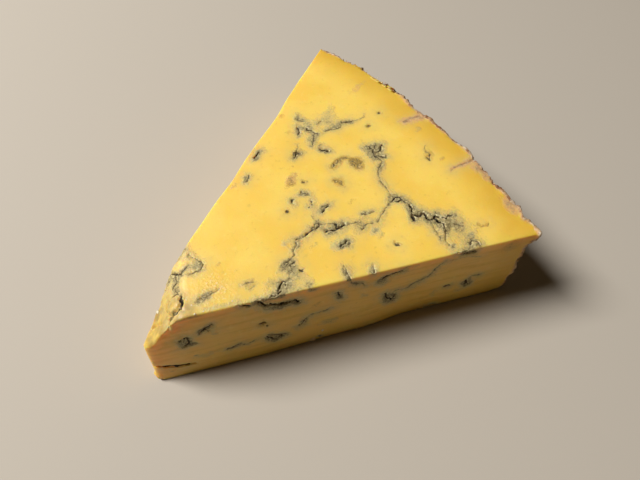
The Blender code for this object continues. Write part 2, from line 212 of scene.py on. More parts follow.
# Routes over the top, as x and y
topVeins = [
    ("slit", (13.6, -0.2), (13.0, -2.0), (11.9, -2.9), (10.6, -2.9), (9.7, -2.6)),
    ("thread", (13.6, -0.2), (13.3, 0.9), (12.2, 1.7)),
    ("faint", (12.2, 1.7), (10.6, 1.6), (9.3, 0.5), (9.1, -0.9), (9.7, -2.4)),
    ("thread", (9.7, -2.4), (8.3, -2.6), (7.2, -4.0)),
    ("crack", (14.9, 8.2), (15.6, 6.0), (16.7, 4.9)),
    ("thread", (16.7, 4.9), (18.0, 5.3), (18.9, 5.4)),
    ("thread", (20.6, 8.1), (21.2, 6.2), (22.1, 4.4), (21.9, 3.2), (20.4, 2.5), (18.2, 3.1)),
    ("thread", (15.2, 5.8), (14.7, 4.0), (12.9, 3.6), (13.4, 1.4)),
    ("crack", (15.9, -3.7), (16.8, -4.0)),
    ("thread", (17.2, -4.1), (18.4, -4.3)),
    ("hair", (18.4, -4.3), (19.8, -4.5), (21.4, -4.4)),
    ("hair", (25.3, -7.2), (26.9, -7.6), (28.5, -8.4), (28.2, -9.4), (26.4, -9.1)),
    ("crack", (25.3, -12.6), (26.2, -13.2), (27.4, -13.8), (28.2, -14.3), (29.1, -13.8), (29.7, -14.4),
     (31.5, -14.3)),
    ("crack", (31.2, -13.8), (31.9, -13.2), (32.6, -12.9), (33.5, -12.5), (34.0, -13.2), (33.4, -13.6)),
    ("thread", (35.6, -9.7), (37.4, -9.6), (37.4, -11.2), (36.9, -11.9)),
    ("thread", (37.4, -10.1), (38.5, -10.3), (38.9, -10.1)),
    ("thread", (35.8, -9.7), (37.1, -8.8), (37.9, -9.1), (40.1, -8.7), (40.5, -7.7), (41.6, -7.1),
     (42.2, -6.8)),
    ("crack", (42.2, -6.8), (42.9, -5.6), (43.4, -5.5), (44.2, -5.8), (45.1, -6.2), (46.1, -5.9),
     (48.2, -6.0), (49.7, -6.3), (50.5, -5.6)),
    ("thread", (48.2, -5.4), (49.2, -5.6), (49.6, -5.1), (50.6, -5.4)),
    ("thread", (50.5, -5.6), (51.1, -6.4), (52.1, -7.1), (52.9, -7.7), (53.7, -8.4)),
    ("crevice", (50.5, -8.5), (51.6, -9.1), (52.5, -9.6), (53.6, -9.8), (55.3, -9.8)),
    ("crack", (53.2, -8.4), (53.8, -8.8), (52.9, -9.3)),
    ("thread", (55.3, -9.8), (56.6, -10.9), (57.6, -11.4), (58.4, -11.6)),
    ("thread", (57.1, -13.9), (58.2, -13.8), (59.2, -13.5), (60.3, -13.8), (61.1, -14.3), (61.8, -14.8),
     (62.9, -14.4), (64.3, -14.0), (65.6, -13.4), (67.5, -12.8), (68.5, -12.6), (69.7, -12.5)),
    ("crack", (69.7, -12.5), (70.3, -12.4), (71.3, -12.3), (71.9, -13.0), (71.8, -13.9), (70.7, -13.6),
     (70.1, -12.9)),
    ("thread", (70.7, -12.2), (70.7, -10.9), (70.9, -10.1), (71.5, -8.9), (71.8, -7.4), (71.9, -6.2),
     (72.5, -4.9), (73.2, -3.7), (74.1, -2.7), (75.9, -1.8), (77.4, -0.9), (77.4, 0.9), (77.9, 2.9)),
    ("crack", (77.2, 1.4), (77.9, 2.9), (78.6, 4.0), (78.5, 5.3)),
    ("thread", (78.9, 0.0), (78.1, 1.2), (78.0, 2.5)),
    ("crack", (77.9, 2.7), (79.3, 2.4), (80.3, 2.5), (81.8, 3.5)),
    ("thread", (79.1, 4.0), (80.6, 4.6)),
    ("thread", (77.9, 4.4), (78.8, 5.3)),
    ("crack", (78.6, 0.6), (79.1, -0.1), (79.4, -0.5)),
    ("thread", (71.8, -13.9), (71.9, -15.4), (71.9, -16.8)),
    ("crevice", (71.9, -16.6), (71.6, -17.6), (70.4, -18.6), (69.9, -19.5), (69.7, -20.4)),
    ("crevice", (70.2, -19.3), (71.0, -19.8), (71.8, -20.5), (72.9, -20.5), (72.5, -21.8),
     (72.4, -23.1), (73.5, -23.4), (74.4, -23.0)),
    ("crevice", (73.6, -23.6), (73.7, -24.5), (74.0, -25.8), (73.2, -27.0)),
    ("thread", (73.2, -27.0), (72.6, -28.0), (71.6, -28.9), (70.6, -29.8), (70.4, -31.4)),
    ("crack", (74.4, -23.4), (75.3, -24.2), (76.0, -25.4), (76.9, -25.2), (77.6, -25.8)),
    ("thread", (72.3, -22.8), (71.9, -23.6), (71.5, -25.1), (71.0, -26.2), (70.4, -27.7), (70.0, -28.6)),
    ("thread", (75.9, -28.0), (76.8, -29.2), (77.2, -29.6)),
    ("crack", (74.1, -34.5), (74.9, -33.9), (75.6, -34.0), (76.2, -35.1), (76.0, -35.6)),
    ("crack", (70.0, -33.9), (71.8, -35.1), (73.2, -36.2)),
    ("faint", (80.4, -31.9), (80.7, -33.0), (81.9, -33.6), (82.4, -33.5)),
    ("crack", (50.0, -14.0), (50.8, -13.8), (51.6, -14.3), (52.4, -14.0)),
    ("thread", (50.3, -14.6), (51.3, -14.9), (52.6, -14.7)),
    ("thread", (60.7, -10.6), (61.3, -11.2), (62.4, -11.6), (63.4, -11.8)),
    ("crack", (45.6, -22.6), (45.8, -21.9), (46.3, -21.2), (46.5, -20.2)),
    ("hair", (46.5, -20.2), (46.8, -19.4), (47.1, -18.6)),
    ("crack", (51.2, -25.3), (51.3, -24.7), (51.8, -24.1), (52.1, -23.3)),
    ("crack", (51.8, -0.1), (52.6, -0.1), (53.4, 0.4), (53.8, 1.1)),
    ("crack", (53.4, -3.3), (53.9, -3.3), (54.7, -3.0), (55.9, -2.9)),
    ("thread", (54.3, -2.2), (55.3, -2.3), (56.3, -2.5)),
    ("hair", (50.7, -2.2), (50.3, -3.4), (50.8, -4.6)),
    ("crack", (49.6, 3.2), (49.5, 3.9), (50.0, 4.6), (50.8, 4.3)),
    ("thread", (53.8, 5.3), (53.2, 4.6), (54.2, 4.2), (54.6, 3.1)),
    ("crack", (59.9, 15.7), (61.1, 16.4), (62.0, 15.7)),
    ("brown", (60.2, 16.6), (61.1, 17.1), (61.9, 16.4)),
    ("hair", (61.9, 17.0), (63.0, 18.2), (63.8, 19.2)),
    ("crack", (51.4, 22.7), (52.6, 23.3), (54.1, 23.8)),
    ("thread", (44.9, 17.4), (45.8, 17.9), (46.6, 18.8)),
    ("thread", (70.9, 25.0), (70.0, 26.3), (70.7, 27.9)),
    ("crack", (68.1, 24.4), (67.8, 23.4), (67.1, 22.2), (66.3, 21.5)),
    ("crack", (69.9, 22.1), (69.4, 21.7), (70.3, 20.6), (70.4, 19.1), (70.7, 18.4)),
    ("thread", (69.7, 18.8), (68.5, 17.5), (67.4, 16.5), (66.2, 15.7)),
    ("crevice", (67.4, 13.5), (67.9, 12.6), (68.5, 11.5)),
    ("thread", (72.9, 21.3), (74.0, 21.8), (75.0, 21.8)),
    ("thread", (72.9, 17.9), (74.6, 17.2), (75.6, 16.9), (77.4, 16.0), (78.2, 16.8), (79.1, 17.4)),
    ("crack", (79.1, 17.2), (80.6, 16.2), (81.6, 15.6)),
    ("hair", (81.6, 15.6), (83.6, 15.0), (85.4, 14.6), (86.0, 15.3)),
    ("ochre", (65.7, 6.0), (66.6, 6.9), (67.7, 7.2), (69.6, 7.0), (71.2, 6.1), (72.1, 4.8), (72.5, 3.3),
     (72.0, 1.2)),
    ("brown", (65.8, 6.2), (66.5, 6.8)),
    ("thread", (70.9, 4.4), (71.5, 3.4), (70.5, 2.7)),
    ("pip", (46.8, 2.4), (46.9, 2.7)),
    ("pip", (60.7, -22.7), (60.9, -22.9)),
    ("brown", (56.2, 7.5), (56.5, 7.2)),
    ("hair", (56.9, 6.9), (57.2, 6.7)),
    ("pip", (38.4, -12.8), (38.6, -13.0)),
    ("pip", (84.1, 11.4), (84.3, 11.1)),
    ("brown", (90.1, 13.2), (90.4, 13.0)),
    ("ochre", (62.8, 1.9), (63.6, 1.7), (64.2, 0.8), (63.6, -0.2)),
    ("hair", (90.7, -4.8), (89.9, -5.3), (89.2, -6.6)),
    ("brown", (89.0, -8.1), (88.2, -8.9), (87.5, -9.2), (87.8, -8.2)),
    ("crease", (89.1, -15.8), (90.9, -15.8), (92.4, -15.9), (94.7, -16.8), (96.6, -17.3)),
    ("crease", (93.0, 5.7), (94.0, 5.4)),
    ("crease", (95.6, 5.4), (96.8, 5.0), (98.4, 4.2), (98.6, 3.4)),
]

# Mould that shows as a patch, as x, y, radius along x, radius along y, turn in degrees, strength and tone
topPatches = [
    (20.6, 4.2, 1.5, 1.7, 0, 0.7, 0.1), (15.0, 5.2, 1.6, 2.0, 20, 0.7, 0.3),
    (26.8, -8.0, 1.5, 1.2, 0, 0.25, 0.8), (27.0, -3.2, 1.0, 0.8, 0, 0.25, 0.9),
    (24.4, 0.6, 0.9, 0.7, 0, 0.25, 0.9), (32.5, -14.0, 3.0, 2.0, 15, 0.75, 0.15),
    (36.2, -12.6, 2.6, 2.2, 30, 0.5, 0.3), (35.4, -16.6, 2.6, 1.4, -20, 0.45, 0.3),
    (31.0, -11.2, 2.0, 1.4, 0, 0.45, 0.5), (28.2, -13.6, 3.0, 1.1, -20, 0.55, 0.3),
    (37.4, -13.2, 1.2, 3.6, 10, 0.45, 0.2), (37.6, -9.9, 2.0, 1.1, 0, 0.6, 0.3),
    (38.5, -12.9, 0.5, 0.4, 0, 0.9, 0.4), (37.4, -17.0, 0.8, 1.0, 0, 0.6, 0.3),
    (40.5, -4.6, 1.2, 1.0, 0, 0.4, 0.1), (58.4, -12.4, 3.2, 1.3, 20, 0.5, 0.45),
    (71.2, -13.2, 1.5, 1.3, 0, 0.6, 0.2), (78.3, 3.2, 3.2, 2.6, 35, 0.85, 0.15),
    (76.8, 6.0, 1.6, 1.1, 40, 0.55, 0.25), (75.4, -2.2, 1.6, 1.0, 30, 0.5, 0.3),
    (71.2, -18.3, 1.9, 2.0, 0, 0.9, 0.15), (72.6, -21.8, 2.6, 1.8, -50, 0.75, 0.25),
    (75.8, -26.4, 3.4, 3.0, -40, 0.7, 0.3), (75.4, -31.0, 3.2, 4.0, 0, 0.45, 0.45),
    (71.3, -32.4, 1.0, 0.8, 0, 0.8, 0.3), (76.5, -32.3, 0.9, 0.8, 0, 0.6, 0.0),
    (75.2, -35.0, 1.8, 1.5, 0, 0.55, 0.25), (51.2, -14.1, 2.0, 1.1, 10, 0.95, 0.0),
    (49.3, -12.9, 1.9, 1.4, 20, 0.35, 0.0), (60.7, -22.6, 0.6, 0.5, 0, 1.0, 0.6),
    (62.0, -11.2, 1.8, 0.7, -20, 0.6, 0.1), (60.0, -16.5, 1.6, 1.1, 0, 0.75, 0.05),
    (60.1, -18.4, 0.7, 0.5, 0, 0.45, 0.5), (46.2, -20.6, 0.9, 1.6, 0, 0.5, 0.3),
    (51.8, -24.0, 1.6, 0.9, 20, 0.45, 0.2), (52.4, -2.4, 1.6, 1.0, 20, 0.5, 0.2),
    (54.6, -2.7, 1.6, 0.6, 8, 0.8, 0.15), (46.8, 2.7, 0.5, 0.4, 0, 0.7, 0.9),
    (53.8, 4.4, 1.5, 1.0, -40, 0.7, 0.15), (56.6, 7.1, 0.9, 0.5, 0, 0.6, 1.0),
    (54.1, 10.1, 2.2, 1.1, 25, 0.7, 1.5), (52.6, 9.0, 1.3, 0.8, 25, 0.4, 0.6),
    (63.4, 0.9, 1.3, 1.3, 0, 0.4, 1.0), (61.4, -5.6, 1.2, 0.7, 0, 0.25, 0.9),
    (61.1, 16.0, 1.5, 1.0, 10, 0.9, 0.85), (52.7, 23.1, 1.9, 0.8, 22, 0.85, 0.1),
    (45.8, 18.2, 1.4, 1.1, 30, 0.6, 0.15), (41.3, 18.4, 1.1, 0.6, 25, 0.4, 0.5),
    (70.2, 26.2, 1.3, 1.4, 0, 0.6, 0.3), (67.4, 22.9, 1.3, 1.9, -30, 0.6, 0.2),
    (64.9, 24.1, 0.8, 0.6, 0, 0.35, 1.0), (68.6, 18.4, 2.4, 1.5, 45, 0.6, 0.15),
    (70.6, 22.4, 2.4, 2.2, 0, 0.65, 0.15), (68.5, 14.7, 0.6, 0.5, 0, 0.8, 0.5),
    (68.1, 12.5, 0.8, 1.6, 25, 0.85, 0.6), (76.4, 20.2, 3.4, 2.6, 50, 0.5, 0.25),
    (79.4, 23.0, 1.0, 3.2, -52, 0.35, 0.3), (76.2, 17.4, 3.0, 1.2, -12, 0.5, 0.2),
    (80.6, 16.4, 1.4, 0.8, -30, 0.7, 0.3), (90.0, 13.2, 0.7, 0.5, 0, 0.4, 0.5),
    (83.7, 10.9, 0.8, 0.6, 0, 0.7, 0.9), (67.0, 30.4, 1.0, 0.5, 0, 0.4, 0.9),
    (68.2, 6.2, 1.7, 0.9, 0, 0.6, 0.7), (71.2, 3.2, 1.1, 2.4, -15, 0.7, 1.35),
    (70.7, 1.3, 1.1, 1.1, 0, 0.6, 1.5), (90.6, -10.9, 0.6, 0.5, 0, 0.7, 0.8),
    (88.9, -7.2, 0.9, 1.8, -25, 0.5, 0.9), (95.0, 5.2, 3.4, 1.4, -15, 0.6, 2.0),
    (97.6, 4.2, 1.4, 1.2, 0, 0.6, 2.0), (92.8, 25.4, 4.6, 0.8, 12, 0.3, 2.0),
    (95.0, -21.4, 1.5, 4.6, -10, 0.75, 2.0), (91.0, -33.6, 1.4, 2.8, -14, 0.75, 1.9),
    (100.8, 0.6, 0.9, 3.4, 4, 0.5, 2.0), (101.0, 33.0, 0.9, 3.0, -8, 0.5, 2.0),
    (93.8, 0.9, 1.2, 0.9, 0, 0.35, 0.6), (93.4, -16.3, 3.6, 0.9, -10, 0.45, 2.0),
    (57.5, 13.0, 0.4, 0.4, 0, 0.3, 0.9), (45.0, -9.8, 1.6, 0.9, 0, 0.2, 0.5),
    (13.8, 3.2, 1.4, 2.0, 0, 0.55, 0.35), (17.0, 5.0, 1.6, 0.8, 0, 0.45, 0.3),
    (27.2, -8.4, 1.6, 1.1, 0, 0.2, 0.6), (18.3, -4.2, 2.6, 0.7, -6, 0.5, 0.9),
    (18.5, -8.1, 3.4, 0.7, -26, 0.55, 0.3), (9.8, -2.4, 1.2, 1.0, 0, 0.5, 0.6),
]

# The same over the near cut, as length from where the cuts meet and height
nearVeins = [
    ("crack", (9.0, 16.8), (10.8, 17.6), (11.1, 14.9), (9.2, 13.7)),
    ("thread", (11.0, 14.5), (12.2, 14.3)),
    ("slit", (1.4, 7.1), (6.6, 5.0), (8.6, 4.6)),
    ("crack", (13.8, 18.1), (15.7, 19.5), (17.5, 20.6)),
    ("thread", (15.6, 19.2), (16.2, 18.1)),
    ("crevice", (29.0, 25.0), (30.4, 23.3), (31.5, 23.1), (33.0, 22.1), (34.6, 22.1), (36.2, 22.1),
     (37.4, 22.3), (38.3, 21.1)),
    ("crack", (24.5, 25.7), (26.7, 24.7)),
    ("brown", (28.2, 15.8), (29.3, 16.1), (29.9, 14.1)),
    ("crevice", (29.0, 8.5), (30.8, 6.6), (32.8, 7.3)),
    ("thread", (30.0, 9.3), (34.2, 7.9)),
    ("thread", (19.0, 7.6), (22.6, 8.8)),
    ("hair", (22.9, 7.8), (26.4, 8.6)),
    ("crack", (37.5, 10.1), (38.8, 10.7), (39.1, 12.1)),
    ("thread", (39.1, 12.1), (40.7, 14.0), (44.6, 14.2), (46.3, 15.0)),
    ("crack", (48.0, 21.0), (48.2, 18.5)),
    ("thread", (50.8, 26.2), (51.3, 23.8), (53.9, 23.1), (54.8, 21.6)),
    ("crack", (58.4, 22.4), (60.3, 23.3), (62.4, 23.7), (64.3, 24.0)),
    ("crevice", (60.6, 14.6), (61.2, 12.3), (62.6, 10.6), (63.4, 12.4)),
    ("thread", (63.5, 15.2), (66.4, 14.3), (68.4, 16.5), (70.0, 17.0), (72.1, 18.6), (73.3, 21.1),
     (74.6, 22.8), (75.4, 23.6)),
    ("hair", (76.5, 23.2), (80.4, 23.3), (84.7, 22.1)),
    ("crack", (78.0, 10.2), (79.4, 10.2)),
    ("crevice", (84.0, 10.3), (84.6, 8.2)),
    ("thread", (85.4, 12.1), (87.7, 11.8)),
    ("crack", (79.9, 25.1), (82.7, 24.6)),
]
nearPatches = [
    (9.9, 15.5, 1.6, 2.2, -20, 0.95, 0.0), (11.8, 14.3, 0.9, 0.6, 0, 0.6, 0.4),
    (15.8, 19.6, 2.4, 0.9, 40, 0.75, 0.2), (17.3, 16.7, 0.7, 0.6, 0, 0.7, 0.5),
    (34.0, 21.4, 4.6, 1.5, 0, 0.85, 0.1), (41.8, 25.2, 1.2, 0.7, 0, 0.7, 0.2),
    (48.6, 19.6, 1.2, 2.3, 0, 0.8, 0.1), (31.3, 7.4, 2.6, 1.5, 5, 0.95, 0.2),
    (20.8, 8.2, 2.2, 0.8, 18, 0.6, 0.3), (24.6, 8.2, 2.0, 0.7, 10, 0.45, 0.3),
    (13.1, 7.6, 3.0, 1.3, 0, 0.4, 0.3), (11.1, 8.7, 0.6, 0.5, 0, 0.6, 0.4),
    (3.9, 3.2, 0.8, 0.4, 0, 0.6, 0.8), (62.0, 12.2, 2.3, 3.0, 25, 1.0, 0.1),
    (54.4, 17.0, 1.2, 0.8, 0, 0.5, 0.4), (45.6, 8.8, 2.4, 1.3, 0, 0.5, 0.6),
    (43.0, 1.2, 1.2, 0.7, 0, 0.8, 0.2), (78.6, 10.2, 1.2, 0.8, 0, 0.85, 0.4),
    (84.4, 9.2, 1.6, 2.0, -10, 0.9, 0.2), (86.5, 12.1, 1.6, 0.6, 0, 0.5, 0.5),
    (80.6, 25.2, 2.6, 0.6, 0, 0.7, 0.2), (59.0, 21.8, 1.8, 2.2, 0, 0.7, 0.2),
    (52.6, 23.6, 1.6, 1.2, 0, 0.5, 0.2), (29.0, 15.4, 0.9, 0.8, 0, 0.7, 1.0),
    (42.7, 18.4, 1.2, 0.6, 20, 0.4, 0.9), (92.8, 23.3, 2.2, 2.0, 0, 0.5, 1.0),
    (70.0, 16.0, 3.6, 1.4, 40, 0.4, 0.3), (75.4, 1.0, 3.4, 1.2, 0, 0.6, 0.3),
    (75.0, 7.8, 1.0, 1.8, 0, 0.4, 0.5), (82.6, 6.0, 1.6, 0.7, 0, 0.45, 0.6),
    (66.0, 24.9, 2.6, 0.6, 0, 0.4, 0.7),
]


def onTop(x, y):
    return (x, y, float(topHeight(np.float64(x), np.float64(y))))


def onNear(along, z):
    lean = float(nearLean(along * cosHalf, z))
    return (along * cosHalf - lean * sinHalf, -along * sinHalf - lean * cosHalf, z)


def onFar(along, z):
    return (along * cosHalf, along * sinHalf, z)


def onBase(x, y):
    return (x, y, 0.0)


# The far cut and the base are out of sight, and get veins by the same habit: short runs that wander
hiddenVeins = {"seed": 7, "runsFar": 22, "runsBase": 30, "steps": (2, 8), "stepLength": (0.8, 2.2)}


def growVeins(random, count, drawStart, place):
    veins, patches = [], []
    for _ in range(count):
        spot = drawStart()
        heading = random.uniform(0, 2 * math.pi)
        route = [place(*spot)]
        for _ in range(random.integers(*hiddenVeins["steps"])):
            heading += random.normal(0, 0.7)
            stride = random.uniform(*hiddenVeins["stepLength"])
            spot = (spot[0] + stride * math.cos(heading), spot[1] + stride * math.sin(heading))
            route.append(place(*spot))
        kind = ("crevice", "crack", "thread", "thread", "hair")[random.integers(5)]
        veins.append((kind, np.array(route)))
        middle = route[len(route) // 2]
        size = random.uniform(0.8, 3.0)
        patches.append((middle, size, random.uniform(0.4, 0.9), random.uniform(0.0, 0.6)))
    return veins, patches


def gatherMarks():
    veins = [(kind, np.array([onTop(*p) for p in route])) for kind, *route in topVeins]
    veins += [(kind, np.array([onNear(*p) for p in route])) for kind, *route in nearVeins]
    random = np.random.default_rng(hiddenVeins["seed"])

    def drawFar():
        return random.uniform(12, 96), random.uniform(3, 24)

    def drawBase():
        x = 95 * math.sqrt(random.uniform(0.03, 1.0))
        return x, random.uniform(-0.42, 0.42) * x

    farVeins, farPatches = growVeins(random, hiddenVeins["runsFar"], drawFar, onFar)
    baseVeins, basePatches = growVeins(random, hiddenVeins["runsBase"], drawBase, onBase)
    return veins + farVeins + baseVeins, farPatches + basePatches


def gatherOvals():
    # each patch as its middle, its three directions, its radii, its strength and its tone
    found = []
    for x, y, radiusX, radiusY, turn, strength, tone in topPatches:
        c, s = math.cos(math.radians(turn)), math.sin(math.radians(turn))
        ways = np.array([[c, s, 0], [-s, c, 0], [0, 0, 1]])
        found.append((np.array(onTop(x, y)), ways, (radiusX, radiusY, 1.5), strength, tone))
    along = np.array([cosHalf, -sinHalf, 0])
    up = np.array([0, 0, 1.0])
    out = np.array([-sinHalf, -cosHalf, 0])
    for length, z, radiusS, radiusZ, turn, strength, tone in nearPatches:
        c, s = math.cos(math.radians(turn)), math.sin(math.radians(turn))
        ways = np.array([c * along + s * up, c * up - s * along, out])
        found.append((np.array(onNear(length, z)), ways, (radiusS, radiusZ, 1.5), strength, tone))
    for middle, size, strength, tone in hiddenPatches:
        found.append((np.array(middle), np.eye(3), (size, size, size), strength, tone))
    return found


allVeins, hiddenPatches = gatherMarks()
allOvals = gatherOvals()


def routeDistance(points, route, reach):
    # distance to a route of straight runs, or infinity beyond its reach
    found = np.full(len(points), np.inf)
    inside = np.all((points > route.min(0) - reach) & (points < route.max(0) + reach), axis=1)
    close = points[inside]
    if not len(close):
        return found
    nearest = np.full(len(close), np.inf)
    for start, end in zip(route[:-1], route[1:]):
        way = end - start
        share = np.clip((close - start) @ way / (way @ way), 0.0, 1.0)
        nearest = np.minimum(nearest, np.linalg.norm(close - start - share[:, None] * way, axis=1))
    found[inside] = nearest
    return found


def ovalDistance(points, middle, ways, radii):
    # 1 at an oval's rim, 0 at its middle
    return np.sqrt(sum(((points - middle) @ way / radius) ** 2 for way, radius in zip(ways, radii)))


def readMarks(points):
    # what the veins and patches do at each point: distance to the nearest crack's edge, its darkness and
    # depth, how thick the mould is, its tone, and how far its pale haze reaches
    edge = np.full(len(points), 2.0)
    dark = np.zeros(len(points))
    sink = np.zeros(len(points))
    mould = np.zeros(len(points))
    toneSum = np.zeros(len(points))
    toneWeight = np.full(len(points), 1e-6)
    haze = np.zeros(len(points))
    jagged = wobble(wobble(points, 1.5, 0.30), 0.5, 0.16)
    soft = wobble(wobble(points, 2.6, 0.7), 0.9, 0.3)
    width = 1.0 + 0.9 * lumps(points, 1.1, 5.0)
    depthShare = np.clip(0.8 + 0.9 * lumps(points, 0.8, 9.0), 0.3, 1.3)
    for kind, route in allVeins:
        openHalf, depth, darkness, reach, strength, tone = veinKinds[kind]
        gap = routeDistance(jagged, route, 2.5)
        rim = gap - openHalf * width
        closer = rim < edge
        edge = np.where(closer, rim, edge)
        dark = np.where(closer, darkness, dark)
        sink = np.maximum(sink, depth * depthShare * hump(gap, openHalf * width * 1.3 + 0.06))
        cloud = strength * hump(routeDistance(soft, route, 2.6 * reach), reach)
        mould = mould + cloud - mould * cloud
        toneSum += cloud * tone
        toneWeight += cloud
        haze = np.maximum(haze, strength * hump(routeDistance(soft, route, 5.0), 2.4))
    for middle, ways, radii, strength, tone in allOvals:
        cloud = strength * np.exp(-ovalDistance(soft, middle, ways, radii) ** 2.6)
        mould = mould + cloud - mould * cloud
        toneSum += cloud * tone
        toneWeight += cloud
    return edge, dark, sink, mould, toneSum / toneWeight, haze


# Relief of the paste and the rind, in millimetres. A groove is a route, half its width and its depth.
relief = {
    "grooves": {
        "roundTheCurd": ([(13.8, 0.8, 25.0), (13.6, -0.4, 25.6), (13.0, -2.0, 25.9), (11.9, -2.9, 25.7),
                          (10.6, -2.9, 25.2), (9.6, -2.3, 24.5)], 0.22, 0.5),
        "behindTheCurd": ([(13.3, 0.9, 24.9), (12.2, 1.7, 24.5), (10.6, 1.6, 24.0), (9.3, 0.5, 23.8),
                           (9.1, -0.9, 24.0), (9.6, -2.3, 24.4)], 0.30, 0.35),
        "foldByTheCurd": ([(9.6, -2.4, 24.4), (8.3, -2.6, 23.8), (7.2, -4.0, 23.5)], 0.40, 0.8),
        "tipLedge": ([(4.2, 1.8, 18.0), (5.4, 0.8, 19.4), (6.6, -0.6, 21.2)], 0.45, 0.6),
        "tipSlit": ([(0.2, 1.2, 6.8), (-1.3, -0.9, 7.0), (0.3, -2.6, 7.0), (4.9, -5.1, 5.2),
                     (8.0, -6.4, 4.6)], 0.32, 0.7),
        "rindCrease": ([(90.0, -15.8, 26.0), (93.4, -16.4, 26.0), (97.4, -17.3, 26.0)], 0.35, 0.12),
        "rindSplit": ([(97.2, -17.3, 26.0), (98.6, -18.0, 16.0), (97.6, -15.5, 6.0)], 0.8, 0.8),
    },
    "curdBall": ((11.4, -0.6, 24.6), 2.0, 0.4),  # the rounded curd by the tip: middle, radius, rise
    "flake": ((73.0, -27.0, 26.0), 1.3, 0.5),
    "edgeCurd": ((75.2, -35.2, 26.0), 1.3, 0.4),
    "tipLip": ((-0.6, -0.7, 1.4), 1.8, 0.6),
    "rindCrags": (0.85, 4.0),
    "rindPits": (0.46, 1.6),
    "rindGrain": (0.12, 0.5),
    "pasteWave": (0.10, 8.0),
    "chipCrags": (0.30, 2.4),
    "chipGrain": (0.14, 0.9),
    "mouldCrumb": (0.20, 0.9),
}


def moveOut(points, mould, sink):
    near, far, rind, table, top = sideGaps(points)
    x, y, z = points.T
    out = np.zeros(len(points))
    for route, halfWidth, depth in relief["grooves"].values():
        out -= depth * hump(routeDistance(points, np.array(route), 4.0), halfWidth)
    for name in ("flake", "edgeCurd", "tipLip"):
        middle, radius, rise = relief[name]
        out += rise * np.exp(-((np.linalg.norm(points - np.array(middle), axis=1) / radius) ** 4))
    middle, radius, rise = relief["curdBall"]
    off = np.linalg.norm(points - np.array(middle), axis=1) / radius
    out += rise * np.sqrt(np.clip(1 - off**4, 0.0, 1.0))
    onRind = smoothStep(rind, -1.4, -0.3)
    broken = smoothStep(14.5 - x + 0.3 * y, 0.0, 4.0) * smoothStep(z, 15.0, 18.0)
    shares = {"rindCrags": onRind, "rindPits": onRind, "rindGrain": onRind, "pasteWave": 1 - onRind,
              "chipCrags": broken, "chipGrain": broken, "mouldCrumb": mould * (1 - onRind)}
    for name, share in shares.items():
        height, size = relief[name]
        lump = lumps(points, size, 0.0 if name == "rindCrags" else 3.7)
        if name == "rindPits":
            lump = -np.abs(lump) * 2 + 0.4
        out += share * height * lump
    out -= sink
    out -= 0.10 * mould
    return out * smoothStep(z, 0.0, 1.2)


def startPrism():
    # a three-sided prism with its corners at the tip and the rind's ends, split into a fine grid
    mesh = bmesh.new()
    bmesh.ops.create_cone(mesh, cap_ends=True, segments=3, radius1=1.0, radius2=1.0, depth=1.0)
    upper = [v for v in mesh.verts if v.co.z > 0]
    lower = sorted((v for v in mesh.verts if v.co.z < 0), key=lambda v: math.atan2(v.co.y, v.co.x))
    pairs = [(low, min(upper, key=lambda v: (v.co.xy - low.co.xy).length)) for low in lower]
    for (low, high), place in zip(pairs, ((0.0, 0.0), nearCorner, farCorner)):
        low.co = (place[0], place[1], 0.0)
        high.co = (place[0], place[1], 1.0)
    upright = [e for e in mesh.edges if abs(e.verts[0].co.z - e.verts[1].co.z) > 0.5]
    bmesh.ops.subdivide_edges(mesh, edges=upright, cuts=wedge["heightCuts"] - 1, use_grid_fill=True)
    level = [e for e in mesh.edges if abs(e.verts[0].co.z - e.verts[1].co.z) < 1e-4]
    bmesh.ops.subdivide_edges(mesh, edges=level, cuts=wedge["lengthCuts"] - 1, use_grid_fill=True)
    return mesh


def placeInWedge(points):
    # bows the prism's end out to the rind, lifts its rows to the cut top and leans its near side
    x, y, height = points.T
    across = np.clip((y / np.maximum(x, 1e-6) / math.tan(half) + 1) / 2, 0.0, 1.0)
    reach = x / (nearCorner[0] + (farCorner[0] - nearCorner[0]) * across)
    bow = 4 * wedge["rindBow"] * across * (1 - across) * reach
    x = x + bow * chordOut[0]
    y = y + bow * chordOut[1]
    rows = height - 0.5 * np.sin(2 * math.pi * height) / (2 * math.pi)
    z = rows * topHeight(x, y)
    lean = nearLean(x, z) * (1 - across)
    return np.stack([x - lean * sinHalf, y - lean * cosHalf, z], axis=1)


def pointsOf(mesh):
    return np.array([v.co[:] for v in mesh.verts])


def putPoints(mesh, points):
    for vert, place in zip(mesh.verts, points):
        vert.co = place


def splitWhere(mesh, wanted):
    edges = list(mesh.edges)
    middles = np.array([((e.verts[0].co + e.verts[1].co) / 2)[:] for e in edges])
    chosen = [edge for edge, take in zip(edges, wanted(middles)) if take]
    bmesh.ops.subdivide_edges(mesh, edges=chosen, cuts=1, use_grid_fill=True)


def byVein(reach):
    def wanted(middles):
        close = np.full(len(middles), np.inf)
        for kind, route in allVeins:
            close = np.minimum(close, routeDistance(middles, route, reach + 0.5))
        for route, halfWidth, depth in relief["grooves"].values():
            close = np.minimum(close, routeDistance(middles, np.array(route), reach + 0.5))
        return (close < reach) & (middles[:, 2] > 0.1)
    return wanted


def byMarkTipOrRind(middles):
    rind = sideGaps(middles)[2]
    wanted = (middles[:, 0] < wedge["fineTip"]) | (rind > -wedge["fineRind"])
    for middle, ways, radii, strength, tone in allOvals:
        wanted |= (ovalDistance(middles, middle, ways, radii) < 1.2) & (strength > 0.5)
    return (wanted | byEdge(middles)) & (middles[:, 2] > 0.1)


def byEdge(middles):
    # close to where a cut side meets the cut top
    near, far, rind, table, top = sideGaps(middles)
    return (np.maximum(near, far) > -0.6) & (top > -0.6)


